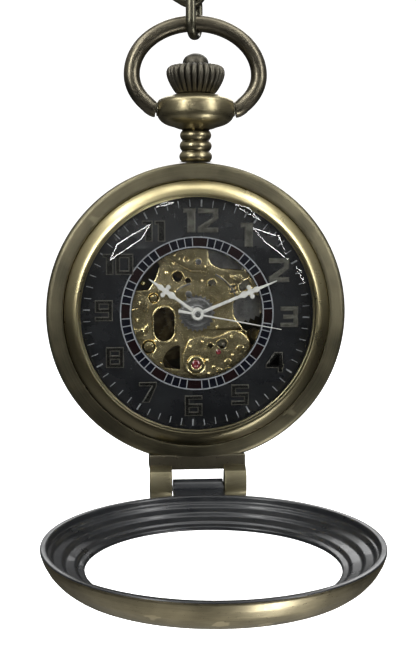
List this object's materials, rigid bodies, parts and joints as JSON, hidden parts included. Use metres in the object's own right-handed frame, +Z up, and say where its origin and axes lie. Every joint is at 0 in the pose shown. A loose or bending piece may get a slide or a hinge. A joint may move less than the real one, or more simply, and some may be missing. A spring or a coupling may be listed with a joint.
{
  "type": "pocket watch",
  "caption": "Round pocket watch with a hinged window cover on the front, a skeleton dial opening, a winding crown under a stirrup bow, and two chain links above.",
  "frame": {"origin": "top of the inside of the chain's ring, the place that the chain is held by", "axes": "+Z up along the hanging watch, -Y out of the dial, +X towards three o'clock as the wearer reads it"},
  "size_m": [0.046, 0.0594, 0.0929],
  "materials": {
    "antique_bronze": "antiqued bronze plating, dark in the recesses and worn bright on the edges",
    "polished_brass": "polished pale brass",
    "black_lacquer": "semi-gloss black lacquer",
    "gilt_movement": "gilt, matt with bevelled edges",
    "movement_steel": "satin steel",
    "white_hands": "white enamel",
    "crystal_glass": "clear polished glass",
    "ruby": "polished synthetic ruby"
  },
  "bodies": {
    "chain_top": {"chain_ring": "antique_bronze", "chain_link_upper": "antique_bronze"},
    "link_lower": {"chain_link_lower": "antique_bronze"},
    "bow": {"bow": "antique_bronze"},
    "case": {"case_band": "antique_bronze", "movement_ring": "polished_brass", "bezel": "polished_brass", "crystal": "crystal_glass", "case_back": "antique_bronze", "pendant": "antique_bronze", "hinge_lug_left": "antique_bronze", "hinge_lug_right": "antique_bronze", "hinge_pin": "movement_steel", "dial": "black_lacquer", "main_plate": "gilt_movement", "barrel_bridge": "gilt_movement", "train_bridge": "gilt_movement", "balance_cock": "gilt_movement", "pallet_bridge": "gilt_movement", "barrel_bridge_screw_1": "movement_steel", "barrel_bridge_screw_2": "movement_steel", "train_bridge_screw_1": "movement_steel", "train_bridge_screw_2": "movement_steel", "crown_wheel_screw": "movement_steel", "jewel_setting": "polished_brass", "ruby_jewel": "ruby"},
    "front_cover": {"front_cover": "antique_bronze"},
    "winding": {"winding_pinion": "movement_steel", "sliding_pinion": "movement_steel"},
    "crown": {"crown": "antique_bronze", "winding_stem": "movement_steel"},
    "setting_lever": {"setting_lever": "movement_steel"},
    "crown_wheel": {"crown_wheel": "movement_steel"},
    "ratchet": {"ratchet_wheel": "movement_steel", "barrel_arbor": "movement_steel"},
    "click": {"click": "movement_steel"},
    "seconds": {"fourth_wheel": "gilt_movement", "seconds_hand": "white_hands"},
    "minutes": {"centre_wheel": "gilt_movement", "cannon_pinion": "movement_steel", "minute_hand": "white_hands"},
    "hours": {"hour_wheel": "movement_steel", "hour_hand": "white_hands"},
    "minute_wheel": {"minute_wheel": "gilt_movement"},
    "third_wheel": {"third_wheel": "gilt_movement"},
    "barrel": {"barrel": "movement_steel", "barrel_cover": "movement_steel", "mainspring": "movement_steel"},
    "escape_wheel": {"escape_wheel": "movement_steel"},
    "pallet_fork": {"pallet_fork": "movement_steel"},
    "balance": {"balance_wheel": "gilt_movement", "hairspring": "movement_steel"}
  },
  "joints": [
    {"name": "chain_swing", "type": "hinge", "parent": "chain_top", "child": "link_lower", "pos_m": [0.00342, 0, -0.01018], "axis": [0, 1, 0], "range_deg": [-15, 15]},
    {"name": "bow_hang", "type": "hinge", "parent": "link_lower", "child": "bow", "pos_m": [0.00362, 0, -0.01482], "axis": [1, 0, 0], "range_deg": [-30, 30]},
    {"name": "bow_swing", "type": "hinge", "parent": "bow", "child": "case", "pos_m": [0.00362, 0, -0.02772], "axis": [1, 0, 0], "range_deg": [-85, 85]},
    {"name": "cover_hinge", "type": "hinge", "parent": "case", "child": "front_cover", "pos_m": [0.00362, -0.0038, -0.08572], "axis": [1, 0, 0], "range_deg": [-90.7, 0]},
    {"name": "crown_turn", "type": "hinge", "parent": "case", "child": "winding", "pos_m": [0.00362, 0, -0.04582], "axis": [0, 0, 1], "continuous": true},
    {"name": "crown_pull", "type": "slide", "parent": "winding", "child": "crown", "axis": [0, 0, 1], "range_m": [0, 0.001]},
    {"name": "setting_lever_turn", "type": "hinge", "parent": "case", "child": "setting_lever", "pos_m": [0.00702, 0.00015, -0.04423], "axis": [0, 1, 0], "range_deg": [0, 22]},
    {"name": "crown_wheel_turn", "type": "hinge", "parent": "case", "child": "crown_wheel", "pos_m": [0.00502, 0.0022, -0.05015], "axis": [0, 1, 0], "continuous": true},
    {"name": "ratchet_turn", "type": "hinge", "parent": "case", "child": "ratchet", "pos_m": [0.00987, 0.0022, -0.05367], "axis": [0, 1, 0], "continuous": true},
    {"name": "click_turn", "type": "hinge", "parent": "case", "child": "click", "pos_m": [0.01429, 0.00215, -0.05207], "axis": [0, 1, 0], "range_deg": [-6, 6]},
    {"name": "seconds_turn", "type": "hinge", "parent": "case", "child": "seconds", "pos_m": [0.00362, 0.0022, -0.05883], "axis": [0, 1, 0], "continuous": true},
    {"name": "minutes_turn", "type": "hinge", "parent": "case", "child": "minutes", "pos_m": [0.00362, 0.0002, -0.05883], "axis": [0, 1, 0], "continuous": true},
    {"name": "hours_turn", "type": "hinge", "parent": "case", "child": "hours", "pos_m": [0.00362, -0.0018, -0.05883], "axis": [0, 1, 0], "continuous": true},
    {"name": "minute_wheel_turn", "type": "hinge", "parent": "case", "child": "minute_wheel", "pos_m": [0.00652, -0.0014, -0.05705], "axis": [0, 1, 0], "continuous": true},
    {"name": "third_wheel_turn", "type": "hinge", "parent": "case", "child": "third_wheel", "pos_m": [0.0025, 0.0013, -0.06411], "axis": [0, 1, 0], "continuous": true},
    {"name": "barrel_turn", "type": "hinge", "parent": "case", "child": "barrel", "pos_m": [0.00987, 0.0012, -0.05367], "axis": [0, 1, 0], "continuous": true},
    {"name": "escape_wheel_turn", "type": "hinge", "parent": "case", "child": "escape_wheel", "pos_m": [0.00767, 0.00175, -0.06247], "axis": [0, 1, 0], "continuous": true},
    {"name": "pallet_rock", "type": "hinge", "parent": "case", "child": "pallet_fork", "pos_m": [0.00913, 0.00175, -0.06472], "axis": [0, 1, 0], "range_deg": [-5, 3.5]},
    {"name": "balance_swing", "type": "hinge", "parent": "case", "child": "balance", "pos_m": [0.01033, 0.0028, -0.06796], "axis": [0, 1, 0], "range_deg": [-135, 135]}
  ],
  "couplings": [
    {"joint": "setting_lever_turn", "follows": "crown_pull", "rad_per_m": 383},
    {"joint": "crown_wheel_turn", "follows": "crown_turn", "ratio": -0.57143},
    {"joint": "ratchet_turn", "follows": "crown_turn", "ratio": 0.8},
    {"joint": "minutes_turn", "follows": "seconds_turn", "ratio": 0.016667},
    {"joint": "hours_turn", "follows": "seconds_turn", "ratio": 0.0013889},
    {"joint": "minute_wheel_turn", "follows": "seconds_turn", "ratio": -0.0055556},
    {"joint": "third_wheel_turn", "follows": "seconds_turn", "ratio": -0.13333},
    {"joint": "barrel_turn", "follows": "seconds_turn", "ratio": -0.0027778},
    {"joint": "escape_wheel_turn", "follows": "seconds_turn", "ratio": -8}
  ]
}
